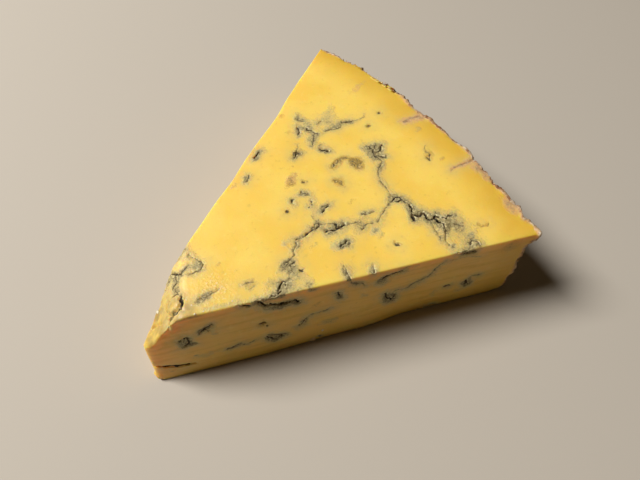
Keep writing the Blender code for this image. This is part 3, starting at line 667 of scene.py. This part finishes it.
def layOutMap(mesh, points):
    # one flat island for each side, all at one scale, inside a square as wide as two triangles
    side = 218.0  # mm
    layer = mesh.loops.layers.uv.new("OFBake")
    middles = np.array([f.calc_center_median()[:] for f in mesh.faces])
    region = np.argmax(np.stack(sideGaps(middles), axis=1), axis=1)
    x, y, z = points.T
    alongNear = x * cosHalf - y * sinHalf
    alongFar = x * cosHalf + y * sinHalf
    bearing = np.arctan2(y - rindCentre[1], x - rindCentre[0]) * rindRadius
    spots = np.stack([
        np.stack([alongNear + 4, z + 100], axis=1),
        np.stack([alongFar + 4, z + 130], axis=1),
        np.stack([bearing + 170, z + 160], axis=1),
        np.stack([x + 112, y + 48], axis=1),
        np.stack([x + 4, y + 48], axis=1),
    ]) / side
    mesh.verts.index_update()
    for face, kind in zip(mesh.faces, region):
        for loop in face.loops:
            loop[layer].uv = spots[kind, loop.vert.index]


def buildWedge():
    mesh = startPrism()
    putPoints(mesh, settle(placeInWedge(pointsOf(mesh))))
    print("wedge: grid of", len(mesh.verts), "points")
    splitWhere(mesh, byMarkTipOrRind)
    splitWhere(mesh, byEdge)
    splitWhere(mesh, byVein(1.1))
    splitWhere(mesh, byVein(0.45))
    points = settle(pointsOf(mesh))
    print("wedge: split to", len(mesh.verts), "points")
    edge, dark, sink, mould, tone, haze = readMarks(points)
    gaps = sideGaps(points)
    layOutMap(mesh, points)
    moved = points + outward(points) * moveOut(points, mould, sink)[:, None]
    moved[:, 2] = np.maximum(moved[:, 2], 0.0)
    moved[:, :2] -= boxMiddle
    low, high = (np.array(corner) / mm for corner in cadBox)
    moved = np.clip(moved, low, high)
    putPoints(mesh, moved * mm)
    bmesh.ops.triangulate(mesh, faces=mesh.faces[:])
    bmesh.ops.recalc_face_normals(mesh, faces=mesh.faces[:])
    data = bpy.data.meshes.new("cheese_wedge_paste")
    mesh.to_mesh(data)
    mesh.free()
    data.shade_smooth()
    x, y, z = points.T
    onTheTop = smoothStep(gaps[4], -1.2, -0.3)
    # moist curd by the broken tip: lower roughness there, and the mask of the painted highlight specks
    moistWithPaintedGlints = hump(x - 20.0, 6.0) * hump(y + 4.0, 5.0) * smoothStep(x, 13.5, 16.0) * onTheTop
    stain = (0.85 + 0.15 * smoothStep(x, 4.5, 8.0)) * smoothStep(16.5 - x, 0.0, 4.0) * onTheTop
    # painted shade: a dark brown line along the rind's top edge, the rind's own brown deepened to stand for
    # its side in shade
    paintedRimShadeLine = hump(gaps[2], 0.35) * onTheTop * (0.35 + 0.65 * smoothStep(y, 0.0, 12.0))
    # the cut sides below the top edge: where the wire's streaks go, and where the paste gets painted shade
    cutSideWithPaintedShade = smoothStep(-gaps[4], 0.1, 1.6) * smoothStep(-gaps[2], 1.0, 3.0)
    looks = {
        "crackEdge": edge, "crackDarkWithPaintedShade": dark, "mould": mould, "mouldTone": tone, "haze": haze,
        "paintedRimShadeLine": paintedRimShadeLine, "rindDepth": -gaps[2], "moistWithPaintedGlints": moistWithPaintedGlints, "curdStain": stain, "cutSideWithPaintedShade": cutSideWithPaintedShade,
    }
    for name, values in looks.items():
        layer = data.attributes.new(name, "FLOAT", "POINT")
        layer.data.foreach_set("value", values.astype(np.float32))
    return bpy.data.objects.new("cheese_wedge_paste", data)


def addNode(tree, kind, out, settings):
    # adds a node, sets its options, fills or links its inputs, and gives one of its outputs
    node = tree.nodes.new("ShaderNode" + kind)
    for name, value in settings.items():
        if isinstance(name, str) and name not in node.inputs:
            setattr(node, name, value)
        elif isinstance(value, bpy.types.NodeSocket):
            tree.links.new(value, node.inputs[name])
        else:
            node.inputs[name].default_value = value
    return node.outputs[out]


# Annatto-dyed cow's milk cheese with blue mould, cut with a wire: a close, slightly waxy paste that light
# goes into, with dry powdery mould in its cracks and a brushed natural rind.
pasteLook = {
    "bright": "#F8D464",
    "deep": "#F4CB56",
    "pale": "#F9DF8C",
    "nearRind": "#DEB03A",
    "tipStain": "#A08446",
    # painted shade: the deeper orange that the cut sides get over the paste colour of the top
    "cutSideWithPaintedShade": "#F0B458",
    # painted highlight: pale specks laid into the colour of the moist curd
    "paintedGlint": "#FFF0C4",
    "haze": "#D3BC78",
    "washBlue": "#D2C084",
    "washOlive": "#CFA748",
    "washPink": "#D9AC76",
    "blueMould": "#9C9470",
    "oliveMould": "#9A7C38",
    "pinkMould": "#B48E68",
    "mouldShade": "#564C2E",
    "mouldPale": "#DAC88E",
    # near-black inside of the cracks: dark mould, deepened by painted shade of the open void
    "crackDarkWithPaintedShade": "#1F1A0C",
    "crackBrown": "#5C4620",
    # pale crumbly curd at the crack edges, made paler still as a painted highlight
    "paleLipHighlight": "#F4E6B4",
    "rindBrown": "#93623A",
    "rindTan": "#C7A274",
    "rindPowder": "#E3D3B6",
    "rindPit": "#5B3D26",
    "underRind": "#D2A06C",
    # painted shade along the rind's top edge
    "paintedRimShade": "#5A3C22",
    "refraction": 1.46,
    "subsurface": 0.55,
    "lightReach": 4.5,  # mm
    "lightReachByColour": (1.0, 0.36, 0.09),
    # each pattern's size in mm, its detail and its roughness; real mould grains are under 0.1 mm, and the
    # ones here are drawn coarser so that they show
    "patterns": {
        "cloud": (14.0, 3.0, 0.5),
        "curd": (1.7, 3.0, 0.6),
        "wander": (7.0, 3.0, 0.5),
        "stain": (2.4, 3.0, 0.6),
        "sparkle": (0.55, 1.0, 0.5),
        "bloom": (1.5, 3.0, 0.6),
        "mouldGrain": (0.5, 3.0, 0.7),
        "mouldFleck": (0.65, 2.0, 0.6),
        "crackRag": (0.35, 2.0, 0.5),
        "crust": (3.2, 4.0, 0.65),
        "drift": (9.0, 2.0, 0.5),
        "powder": (1.1, 4.0, 0.7),
        "skinRag": (1.0, 3.0, 0.6),
        "tooth": (0.55, 3.0, 0.6),
        "sheen": (2.2, 3.0, 0.5),
    },
    "wireDrag": 1.6,  # height in mm of the streaks that the wire leaves along the cut sides
    "dragStretch": (0.10, 0.10, 1.0),
    "netting": 1.1,  # size in mm of the fine dark net that breaks up thick mould
    "nettingWarp": (1.6, 1.2),  # size and reach in mm of the noise that bends it
    # Each step reads one value between two limits and gives another between two: what it reads, the limits,
    # what it gives there, and what the result is multiplied by
    "steps": {
        "clouds": ("cloud", 0.36, 0.64, 0.0, 1.0, None),
        "streaks": ("wireDrag", 0.46, 0.66, 0.0, 0.55, "cutSideWithPaintedShade"),
        "curdFlecks": ("curd", 0.55, 0.78, 0.0, 0.30, None),
        "deepPatches": ("skinRag", 0.50, 0.75, 0.0, 0.35, None),
        "olivePatches": ("bloom", 0.60, 0.74, 0.0, 0.30, None),
        "towardsRind": ("rindward", 4.5, 18.0, 0.9, 0.0, None),
        "stainedTip": ("stain", 0.35, 0.62, 0.5, 0.95, "curdStain"),
        "paintedGlints": ("sparkle", 0.60, 0.72, 0.0, 0.6, "moistWithPaintedGlints"),
        "hazePatches": ("bloom", 0.30, 0.65, 0.55, 1.1, "haze"),
        "anyMould": ("mould", 0.02, 0.14, 0.0, 1.0, None),
        "wash": ("ragged", 0.78, 1.30, 0.0, 0.8, "anyMould"),
        "thick": ("ragged", 1.20, 1.62, 0.0, 0.88, "anyMould"),
        "paleGrains": ("mouldFleck", 0.52, 0.66, 0.0, 0.8, None),
        "netBreaks": ("mouldFleck", 0.40, 0.52, 0.0, 1.0, None),
        "net": ("netting", 0.04, 0.16, 0.85, 0.0, "netBreaks"),
        # inside of the cracks: dark mould with painted shade
        "inside": ("crackRim", 0.10, 0.24, 1.0, 0.0, "crackDarkWithPaintedShade"),
        "crumbly": ("powder", 0.52, 0.60, 0.0, 0.7, None),
        # pale crumbly crack edges, partly painted highlight
        "paleLipsAndHighlights": ("crackRim", 0.30, 0.60, 1.0, 0.0, "crumbly"),
        "crackFloor": ("powder", 0.42, 0.62, 0.0, 1.0, None),
        "crests": ("crust", 0.38, 0.62, 0.0, 1.0, None),
        "pits": ("bloom", 0.58, 0.68, 0.0, 0.75, None),
        "dusted": ("dust", 1.02, 1.26, 0.0, 0.85, None),
        "underSkin": ("skinDepth", 1.75, 2.4, 0.7, 0.0, None),
        "skin": ("skinDepth", 1.6, 1.85, 1.0, 0.0, None),
        # dark line painted as shade along the rind's top edge
        "paintedRimShadeShare": ("powder", 0.38, 0.55, 0.0, 0.9, "paintedRimShadeLine"),
        "waxiness": ("sheen", 0.3, 0.7, 0.42, 0.54, None),
    },
    # The same, but straight: whether the mould is pinkish, whether it may have a net, and how deep a crack is
    "straightSteps": {
        "pinkish": ("mouldTone", 1.1, 1.8, 0.0, 1.0),
        "bluish": ("mouldTone", 1.1, 1.8, 1.0, 0.25),
        "deepOnly": ("crackDarkWithPaintedShade", 0.7, 1.0, 0.0, 1.0),
    },
    # share of the painted shade on the cut sides
    "paintedSideShadeStrength": 0.45,
}


def annattoPaste():
    material = bpy.data.materials.new("annatto_blue_cheese")
    material.use_nodes = True
    tree = material.node_tree
    shader = tree.nodes["Principled BSDF"]
    look = {name: linearColour(value) for name, value in pasteLook.items() if isinstance(value, str)}
    soft = {"interpolation_type": "SMOOTHSTEP"}
    blend = {"data_type": "RGBA"}
    times = {"operation": "MULTIPLY"}
    timesPlus = {"operation": "MULTIPLY_ADD"}
    highest = {"operation": "MAXIMUM"}
    spot = addNode(tree, "TexCoord", "Object", {})

    # patterns of the paste, the mould and the rind, and what was painted on the mesh
    made = {}
    for name, (size, detail, rough) in pasteLook["patterns"].items():
        made[name] = addNode(tree, "TexNoise", 0, {
            "Vector": spot, "Scale": perMetre(size), "Detail": detail, "Roughness": rough})
    for name in ("crackEdge", "crackDarkWithPaintedShade", "mould", "mouldTone", "haze", "rindDepth", "paintedRimShadeLine", "moistWithPaintedGlints",
                 "curdStain", "cutSideWithPaintedShade"):
        made[name] = addNode(tree, "Attribute", "Fac", {"attribute_name": name})
    drawnOut = addNode(tree, "VectorMath", 0, {**times, 0: spot, 1: pasteLook["dragStretch"]})
    made["wireDrag"] = addNode(tree, "TexNoise", 0, {
        "Vector": drawnOut, "Scale": perMetre(pasteLook["wireDrag"]), "Detail": 3.0})
    warpSize, warpReach = pasteLook["nettingWarp"]
    warp = addNode(tree, "TexNoise", "Color", {"Vector": spot, "Scale": perMetre(warpSize), "Detail": 2.0})
    warped = addNode(tree, "VectorMath", 0, {**timesPlus, 0: warp, 1: (warpReach * mm,) * 3, 2: spot})
    made["netting"] = addNode(tree, "TexVoronoi", "Distance", {
        "feature": "DISTANCE_TO_EDGE", "Vector": warped, "Scale": perMetre(pasteLook["netting"])})

    # patterns that make the painted borders ragged: name, pattern, its share, and what it is added to
    for name, pattern, share, base in (
            ("rindward", "wander", 9.0, "rindDepth"), ("ragged", "bloom", 0.7, "mould"),
            ("ragged", "mouldGrain", 0.9, "ragged"), ("crackRim", "crackRag", 0.2, "crackEdge"),
            ("dust", "drift", 1.1, "powder"), ("skinDepth", "skinRag", 0.6, "rindDepth"),
            ("skinDepth", "crust", 1.3, "skinDepth")):
        made[name] = addNode(tree, "Math", 0, {**timesPlus, 0: made[pattern], 1: share, 2: made[base]})

    for name, (source, low, high, first, last, mask) in pasteLook["steps"].items():
        made[name] = addNode(tree, "MapRange", 0, {
            **soft, "Value": made[source], "From Min": low, "From Max": high, "To Min": first,
            "To Max": last})
        if mask:
            made[name] = addNode(tree, "Math", 0, {**times, 0: made[name], 1: made[mask]})
    for name, (source, low, high, first, last) in pasteLook["straightSteps"].items():
        made[name] = addNode(tree, "MapRange", 0, {
            "Value": made[source], "From Min": low, "From Max": high, "To Min": first, "To Max": last})
    paintedSideShade = addNode(tree, "Math", 0, {**times, 0: made["cutSideWithPaintedShade"], 1: pasteLook["paintedSideShadeStrength"]})
    net = addNode(tree, "Math", 0, {**times, 0: made["net"], 1: made["bluish"]})
    paleLipsAndHighlights = addNode(tree, "Math", 0, {**times, 0: made["paleLipsAndHighlights"], 1: made["deepOnly"]})

    # each stack starts from its first colour, and every further one is laid over it where its share says
    stacks = {
        # the pale wash round the mould: blue-grey, olive or pinkish
        "wash": (look["washBlue"], (made["mouldTone"], look["washOlive"]),
                 (made["pinkish"], look["washPink"])),
        # thick mould, with pale grains and a dark net
        "mould": (look["blueMould"], (made["mouldTone"], look["oliveMould"]),
                  (made["pinkish"], look["pinkMould"]), (made["paleGrains"], look["mouldPale"]),
                  (net, look["mouldShade"])),
        "crack": (look["crackDarkWithPaintedShade"], (made["crackFloor"], look["crackBrown"])),
        # brown skin with tan crests, dark pits and a dusting of pale mould
        "rind": (look["rindBrown"], (made["crests"], look["rindTan"]), (made["pits"], look["rindPit"]),
                 (made["dusted"], look["rindPowder"])),
    }
    # paste with slow clouds, painted shade of deeper orange on the cut sides with the wire's streaks there,
    # ochre towards the rind, stained at the broken tip with painted glinting specks where it is moist; then
    # mould, open cracks whose near-black inside is partly painted shade, pale crumbly edges partly painted as
    # highlights, the rind, and a dark line painted as shade along the rind's top edge
    stacks["cheese"] = (
        look["bright"], (made["clouds"], look["deep"]), (paintedSideShade, look["cutSideWithPaintedShade"]),
        (made["streaks"], look["nearRind"]), (made["curdFlecks"], look["pale"]),
        (made["deepPatches"], look["deep"]), (made["olivePatches"], look["washOlive"]),
        (made["towardsRind"], look["nearRind"]), (made["stainedTip"], look["tipStain"]),
        (made["paintedGlints"], look["paintedGlint"]), (made["hazePatches"], look["haze"]), (made["wash"], "wash"),
        (made["thick"], "mould"), (paleLipsAndHighlights, look["paleLipHighlight"]), (made["inside"], "crack"),
        (made["underSkin"], look["underRind"]), (made["skin"], "rind"), (made["paintedRimShadeShare"], look["paintedRimShade"]))
    colours = {}
    for name, (colour, *layers) in stacks.items():
        for share, over in layers:
            over = colours[over] if isinstance(over, str) else over
            colour = addNode(tree, "Mix", 2, {**blend, 0: share, 6: colour, 7: over})
        colours[name] = colour
    tree.links.new(colours["cheese"], shader.inputs["Base Color"])

    # roughness: waxy where cut, dry on mould and rind, wet on the broken curd
    rough = made["waxiness"]
    for name, change in (("thick", 0.3), ("skin", 0.35), ("moistWithPaintedGlints", -0.22)):
        rough = addNode(tree, "Math", 0, {**timesPlus, 0: made[name], 1: change, 2: rough})
    tree.links.new(rough, shader.inputs["Roughness"])
    shader.inputs["IOR"].default_value = pasteLook["refraction"]

    # light goes into the clean paste, but not into the mould, the cracks and the rind
    blocked = addNode(tree, "Math", 0, {**highest, 0: made["inside"], 1: made["thick"]})
    blocked = addNode(tree, "Math", 0, {**highest, 0: blocked, 1: made["skin"]})
    depth = addNode(tree, "MapRange", 0, {"Value": blocked, "To Min": pasteLook["subsurface"], "To Max": 0.0})
    tree.links.new(depth, shader.inputs["Subsurface Weight"])
    shader.inputs["Subsurface Radius"].default_value = pasteLook["lightReachByColour"]
    shader.inputs["Subsurface Scale"].default_value = pasteLook["lightReach"] * mm

    # bump: the fine tooth of the cut paste, the wire's streaks, and the lumps of mould, wet curd and rind
    tooth = addNode(tree, "Bump", 0, {"Strength": 0.22, "Distance": 0.08 * mm, "Height": made["tooth"]})
    dragged = addNode(tree, "Math", 0, {**times, 0: made["wireDrag"], 1: made["cutSideWithPaintedShade"]})
    streaks = addNode(tree, "Bump", 0, {
        "Strength": 0.5, "Distance": 0.3 * mm, "Height": dragged, "Normal": tooth})
    lumpy = addNode(tree, "Math", 0, {**highest, 0: made["wash"], 1: made["skin"]})
    lumpy = addNode(tree, "Math", 0, {**highest, 0: lumpy, 1: made["moistWithPaintedGlints"]})
    lumpy = addNode(tree, "Math", 0, {**times, 0: lumpy, 1: made["powder"]})
    coarse = addNode(tree, "Bump", 0, {
        "Strength": 0.6, "Distance": 0.4 * mm, "Height": lumpy, "Normal": streaks})
    tree.links.new(coarse, shader.inputs["Normal"])
    return material


# Crumbs of curd and rind that cling to the rind's edge, the broken tip and the near cut's foot.
# Their tone runs from white (0) over paste (0.5) to rind (1).
crumbSet = {
    "seed": 11,
    "rindCount": 300,
    "cornerCount": 36,
    "tipCount": 24,
    "footCount": 46,
    "size": (0.06, 0.28),
    "sunk": 0.5,  # share of its radius
    "whiteCrumb": "#F7EFD8",
    "pasteCrumb": "#EACB92",
    "rindCrumb": "#C99C74",
    "placed": (  # the ones that the photograph shows one by one: x, y, z, size and tone
        (7.6, 3.2, 19.8, 0.55, 0.1), (13.5, -6.2, 26.0, 0.36, 0.2), (14.0, -2.0, 26.0, 0.24, 0.1),
        (15.4, -6.9, 26.0, 0.3, 0.1), (21.7, -9.0, 26.0, 0.22, 0.1), (14.2, -3.9, 26.0, 0.2, 0.1),
        (34.6, -23.0, 1.0, 0.8, 0.4), (38.5, -20.7, 4.4, 0.6, 0.2),
    ),
}


def crumbSpots(random):
    for x, y, z, size, tone in crumbSet["placed"]:
        yield np.array([x, y, z]), size, tone
    for _ in range(crumbSet["rindCount"]):
        share = random.uniform(0.01, 0.99)
        place = nearCorner + (farCorner - nearCorner) * share
        place = place + chordOut * 4 * wedge["rindBow"] * share * (1 - share)
        height = thickness - 0.3 - abs(random.normal(0, 1.2))
        tone = random.uniform(0.7, 1.1) if random.uniform() < 0.75 else 0.05
        yield np.array([place[0], place[1], height]), random.uniform(*crumbSet["size"]), tone
    for number in range(crumbSet["cornerCount"]):
        corner = (nearCorner, farCorner)[number % 2]
        place = np.array([corner[0], corner[1], random.uniform(2.0, 25.0)])
        yield place, random.uniform(*crumbSet["size"]), random.uniform(0.6, 1.0)
    for _ in range(crumbSet["tipCount"]):
        place = [random.normal(0.6, 0.5), random.normal(-0.8, 0.7), random.uniform(0.8, 17.0)]
        yield np.array(place), random.uniform(*crumbSet["size"]), random.uniform(0.3, 0.6)
    for _ in range(crumbSet["footCount"]):
        place = onNear(random.uniform(0.0, 92.0), 0.25)
        yield np.array(place), random.uniform(*crumbSet["size"]), random.uniform(0.2, 0.8)


def crumbPaste():
    material = bpy.data.materials.new("dry_cheese_crumb")
    material.use_nodes = True
    tree = material.node_tree
    shader = tree.nodes["Principled BSDF"]
    spot = addNode(tree, "TexCoord", "Object", {})
    speckle = addNode(tree, "TexNoise", 0, {"Vector": spot, "Scale": perMetre(0.8), "Detail": 3.0})
    tone = addNode(tree, "Attribute", "Fac", {"attribute_name": "crumbTone"})
    tone = addNode(tree, "Math", 0, {"operation": "MULTIPLY_ADD", 0: speckle, 1: 0.3, 2: tone})
    first = addNode(tree, "MapRange", 0, {"Value": tone, "From Min": 0.15, "From Max": 0.6})
    colour = addNode(tree, "Mix", 2, {
        "data_type": "RGBA", 0: first, 6: linearColour(crumbSet["whiteCrumb"]),
        7: linearColour(crumbSet["pasteCrumb"])})
    second = addNode(tree, "MapRange", 0, {"Value": tone, "From Min": 0.65, "From Max": 1.15})
    colour = addNode(tree, "Mix", 2, {
        "data_type": "RGBA", 0: second, 6: colour, 7: linearColour(crumbSet["rindCrumb"])})
    tree.links.new(colour, shader.inputs["Base Color"])
    shader.inputs["Roughness"].default_value = 0.78
    shader.inputs["Subsurface Weight"].default_value = 0.2
    shader.inputs["Subsurface Radius"].default_value = (1.0, 0.5, 0.2)
    shader.inputs["Subsurface Scale"].default_value = 0.8 * mm
    return material


def buildCrumbs():
    random = np.random.default_rng(crumbSet["seed"])
    mesh = bmesh.new()
    low, high = (np.array(corner) / mm for corner in cadBox)
    tones = []
    for number, (place, size, tone) in enumerate(crumbSpots(random)):
        home = settle(place[None])[0]
        stretch = random.uniform(0.6, 1.3, 3)
        made = bmesh.ops.create_icosphere(mesh, subdivisions=2, radius=1.0)
        points = np.array([v.co[:] for v in made["verts"]])
        points *= 1 + 0.35 * lumps(points, 0.8, number * 1.7)[:, None]
        points = points * size * stretch + home - outward(home[None])[0] * size * crumbSet["sunk"]
        points[:, 2] = np.maximum(points[:, 2], 0.02)
        points[:, :2] -= boxMiddle
        points = np.clip(points, low, high)
        for vert, spot in zip(made["verts"], points * mm):
            vert.co = spot
        tones += [tone] * len(points)
    data = bpy.data.meshes.new("cheese_crumbs")
    mesh.to_mesh(data)
    mesh.free()
    data.shade_smooth()
    layer = data.attributes.new("crumbTone", "FLOAT", "POINT")
    layer.data.foreach_set("value", tones)
    return bpy.data.objects.new("cheese_crumbs", data)


body = buildWedge()
bpy.context.scene.collection.objects.link(body)
body.data.materials.append(annattoPaste())
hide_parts("cheese_wedge")
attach(body, "root")
print("wedge: made with", len(body.data.polygons), "faces")

crumbs = buildCrumbs()
bpy.context.scene.collection.objects.link(crumbs)
crumbs.data.materials.append(crumbPaste())
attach(crumbs, "root")
print("crumbs: made with", len(crumbs.data.polygons), "faces")


# Studio: pale floor and a large soft light high beyond the far cut, so that the near cut lies in shade
studio = {
    "floorColour": "#BBB1A2",
    "floorSize": 6.0,
    "worldColour": "#F2D09E",
    "worldStrength": 0.045,
    "keyPower": 28.5,
    "keySize": 0.6,
    "keyFrom": (-0.58, 0.72, 1.10),
}


def buildStudio():
    mesh = bmesh.new()
    bmesh.ops.create_grid(mesh, x_segments=1, y_segments=1, size=studio["floorSize"] / 2)
    data = bpy.data.meshes.new("floor")
    mesh.to_mesh(data)
    mesh.free()
    floor = bpy.data.objects.new("floor", data)
    bpy.context.scene.collection.objects.link(floor)
    paint = bpy.data.materials.new("matt_floor_paint")
    paint.use_nodes = True
    shader = paint.node_tree.nodes["Principled BSDF"]
    shader.inputs["Base Color"].default_value = linearColour(studio["floorColour"])
    shader.inputs["Roughness"].default_value = 0.8
    data.materials.append(paint)
    light = bpy.data.lights.new("key_softbox", "AREA")
    light.shape = "DISK"
    light.size = studio["keySize"]
    light.energy = studio["keyPower"]
    lamp = bpy.data.objects.new("key_softbox", light)
    lamp.location = studio["keyFrom"]
    lamp.rotation_euler = (-Vector(studio["keyFrom"])).to_track_quat("-Z", "Y").to_euler()
    bpy.context.scene.collection.objects.link(lamp)
    world = bpy.data.worlds.new("studio_air")
    world.use_nodes = True
    air = world.node_tree.nodes["Background"]
    air.inputs["Color"].default_value = linearColour(studio["worldColour"])
    air.inputs["Strength"].default_value = studio["worldStrength"]
    bpy.context.scene.world = world
    bpy.context.scene.view_settings.view_transform = "Standard"


# The photograph's viewpoint: looking down 57 degrees across the near cut
view = {
    "place": (5.62, -57.89, 124.53),
    "downTilt": 57.0,
    "heading": -40.855,
    "lens": 27.0,
    "sensor": 36.0,
}


def buildCamera():
    camera = bpy.data.cameras.new("photo_view")
    camera.lens = view["lens"]
    camera.sensor_width = view["sensor"]
    camera.clip_start = 0.005
    rig = bpy.data.objects.new("photo_view", camera)
    x, y, z = view["place"]
    rig.location = ((x - boxMiddle[0]) * mm, (y - boxMiddle[1]) * mm, z * mm)
    rig.rotation_euler = (math.radians(90 - view["downTilt"]), 0.0, math.radians(view["heading"]))
    bpy.context.scene.collection.objects.link(rig)
    bpy.context.scene.camera = rig


buildStudio()
buildCamera()
print("studio: floor, light and camera set")
